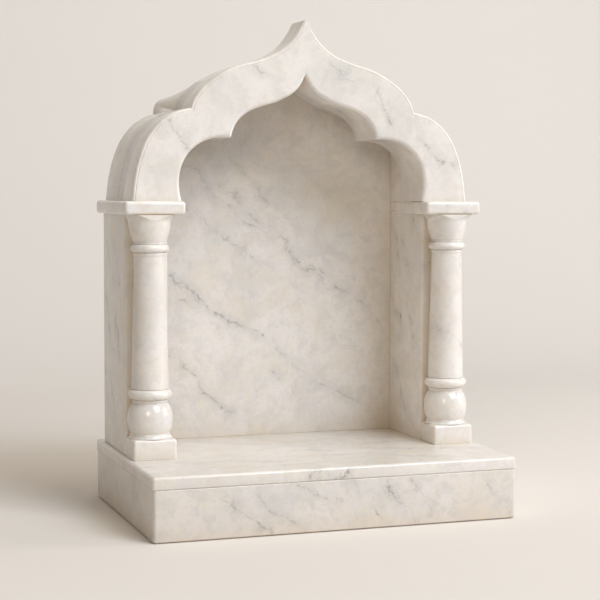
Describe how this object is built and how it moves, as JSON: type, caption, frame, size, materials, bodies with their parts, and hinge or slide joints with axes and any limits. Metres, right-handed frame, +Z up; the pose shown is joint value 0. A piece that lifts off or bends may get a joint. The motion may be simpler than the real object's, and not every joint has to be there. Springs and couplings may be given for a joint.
{
  "type": "marble home temple",
  "caption": "Small marble home temple: boxed base, half-engaged turned columns and a cusped arch with a pointed tip in front of a shallow niche that holds a figure or lamp.",
  "frame": {"origin": "centre of the underside of the base, on the surface it stands on", "axes": "+X to the viewer's right across the front, -Y out of the niche towards the viewer, +Z up to the tip of the arch"},
  "size_m": [0.457, 0.292, 0.5994],
  "materials": {
    "base_marble": "polished white marble with soft grey veins",
    "wall_marble": "polished white marble with grey and tan veins",
    "carved_marble": "polished white marble, faint veins"
  },
  "bodies": {
    "root": {"base_front": "base_marble", "base_rear": "base_marble", "base_left": "base_marble", "base_right": "base_marble", "base_slab": "base_marble", "wall_left": "wall_marble", "wall_right": "wall_marble", "back_panel": "wall_marble", "plinth_left": "carved_marble", "plinth_right": "carved_marble", "bulb_left": "carved_marble", "bulb_right": "carved_marble", "lower_ring_left": "carved_marble", "lower_ring_right": "carved_marble", "shaft_left": "carved_marble", "shaft_right": "carved_marble", "upper_ring_left": "carved_marble", "upper_ring_right": "carved_marble", "capital_left": "carved_marble", "capital_right": "carved_marble", "abacus_left": "carved_marble", "abacus_right": "carved_marble", "arch": "carved_marble", "hood_left": "wall_marble", "hood_right": "wall_marble", "hood_roof": "wall_marble", "hood_saddle": "wall_marble"}
  },
  "joints": []
}
